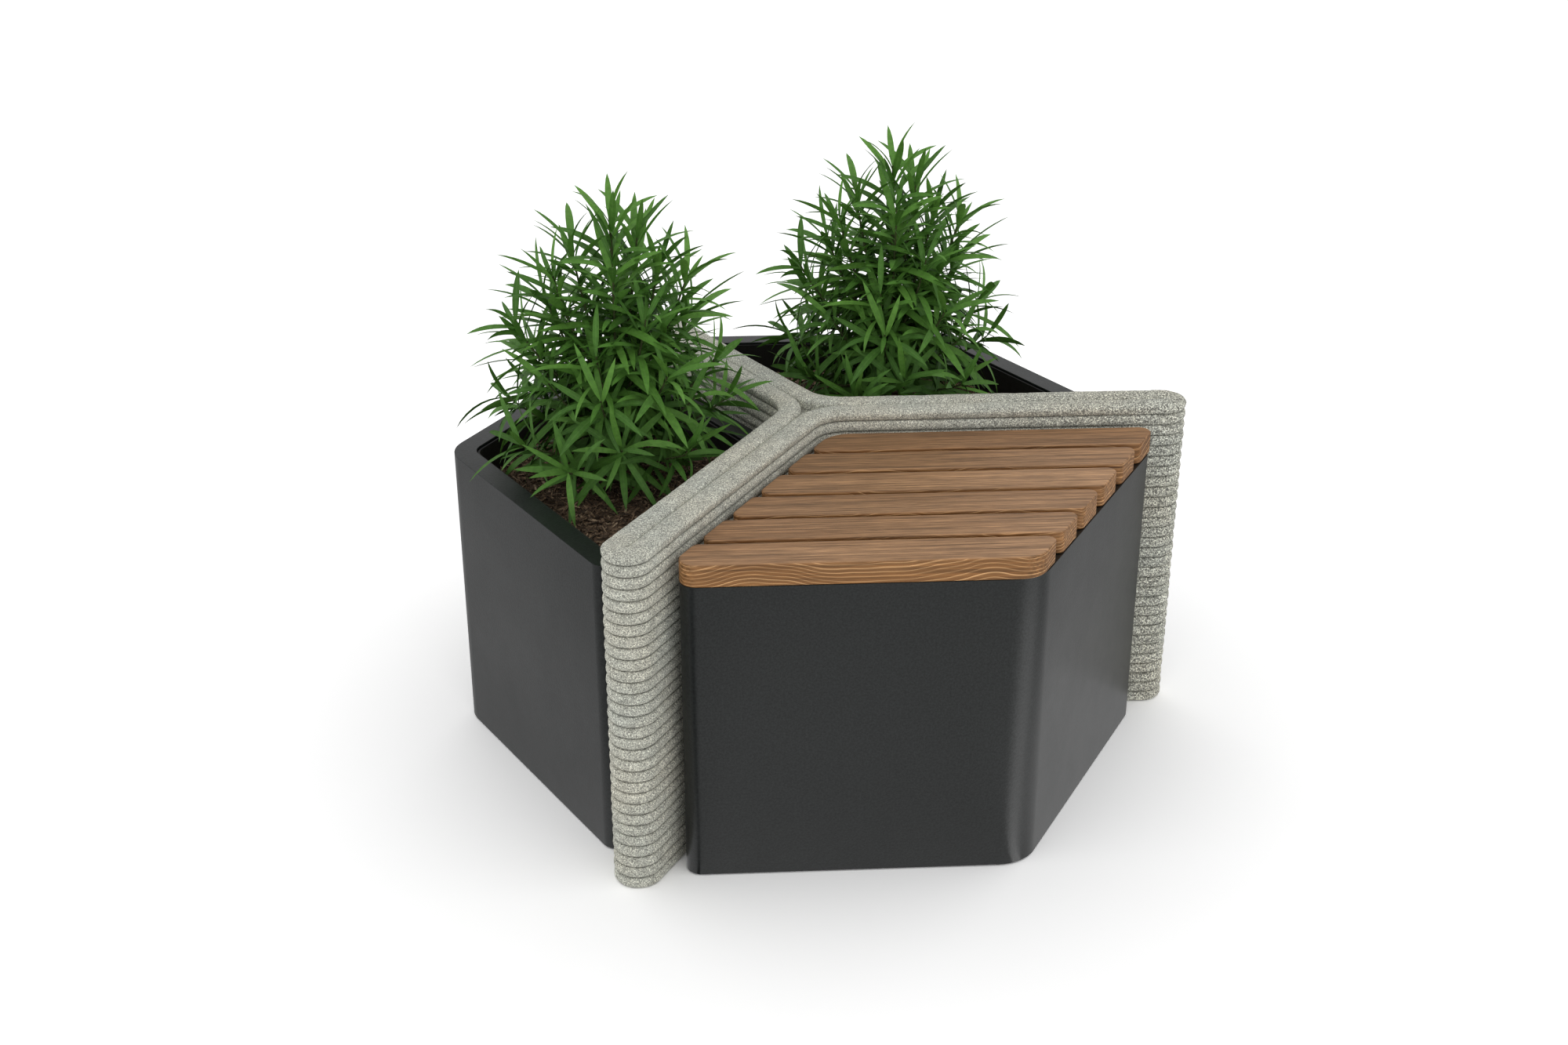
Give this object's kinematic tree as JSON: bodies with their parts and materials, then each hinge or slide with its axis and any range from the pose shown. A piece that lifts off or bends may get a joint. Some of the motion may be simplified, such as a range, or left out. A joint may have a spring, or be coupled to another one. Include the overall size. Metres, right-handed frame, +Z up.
{
  "type": "bench with planters",
  "caption": "Street bench with planters: a ribbed printed concrete wall of arms at equal angles, a slatted timber seat and shrub planters in rhombic steel shells between them.",
  "frame": {"origin": "on the floor under the middle of the wall, where its three arms meet", "axes": "+Z is up, +X runs along the right arm, and -Y is the side that the seat's front faces"},
  "size_m": [1.0309, 0.931, 0.8205],
  "materials": {
    "concrete": "matte",
    "painted_steel": "satin",
    "plain_steel": "satin",
    "hardwood": "matte",
    "foot_rubber": "matte",
    "liner_plastic": "matte",
    "clay_balls": "matte",
    "soil": "matte",
    "bark": "matte",
    "foliage": "satin"
  },
  "bodies": {
    "root": {"printed_wall": "concrete", "tie_bolt_right_arm": "plain_steel", "tie_nut_right_arm": "plain_steel", "tie_bolt_rear_arm": "plain_steel", "tie_nut_rear_arm": "plain_steel", "tie_bolt_front_arm": "plain_steel", "tie_nut_front_arm": "plain_steel", "spacer_right_arm_bench_side": "plain_steel", "spacer_right_arm_rear_planter_side": "plain_steel", "spacer_rear_arm_rear_planter_side": "plain_steel", "spacer_rear_arm_left_planter_side": "plain_steel", "spacer_front_arm_left_planter_side": "plain_steel", "spacer_front_arm_bench_side": "plain_steel", "bench_shell": "painted_steel", "bench_base_frame": "painted_steel", "bench_foot_hub": "foot_rubber", "bench_foot_right": "foot_rubber", "bench_foot_outer": "foot_rubber", "bench_foot_left": "foot_rubber", "rear_planter_shell": "painted_steel", "rear_planter_base_frame": "painted_steel", "rear_planter_foot_hub": "foot_rubber", "rear_planter_foot_right": "foot_rubber", "rear_planter_foot_outer": "foot_rubber", "rear_planter_foot_left": "foot_rubber", "left_planter_shell": "painted_steel", "left_planter_base_frame": "painted_steel", "left_planter_foot_hub": "foot_rubber", "left_planter_foot_right": "foot_rubber", "left_planter_foot_outer": "foot_rubber", "left_planter_foot_left": "foot_rubber", "seat_slat_1": "hardwood", "slat_screw_1_left": "plain_steel", "slat_screw_1_right": "plain_steel", "seat_slat_2": "hardwood", "slat_screw_2_left": "plain_steel", "slat_screw_2_right": "plain_steel", "seat_slat_3": "hardwood", "slat_screw_3_left": "plain_steel", "slat_screw_3_right": "plain_steel", "seat_slat_4": "hardwood", "slat_screw_4_left": "plain_steel", "slat_screw_4_right": "plain_steel", "seat_slat_5": "hardwood", "slat_screw_5_left": "plain_steel", "slat_screw_5_right": "plain_steel", "seat_slat_6": "hardwood", "slat_screw_6_left": "plain_steel", "slat_screw_6_right": "plain_steel", "rear_planter_liner": "liner_plastic", "rear_planter_drainage_layer": "clay_balls", "rear_planter_substrate": "soil", "rear_planter_bark_mulch": "bark", "rear_planter_shrub": "foliage", "left_planter_liner": "liner_plastic", "left_planter_drainage_layer": "clay_balls", "left_planter_substrate": "soil", "left_planter_bark_mulch": "bark", "left_planter_shrub": "foliage"}
  },
  "joints": []
}
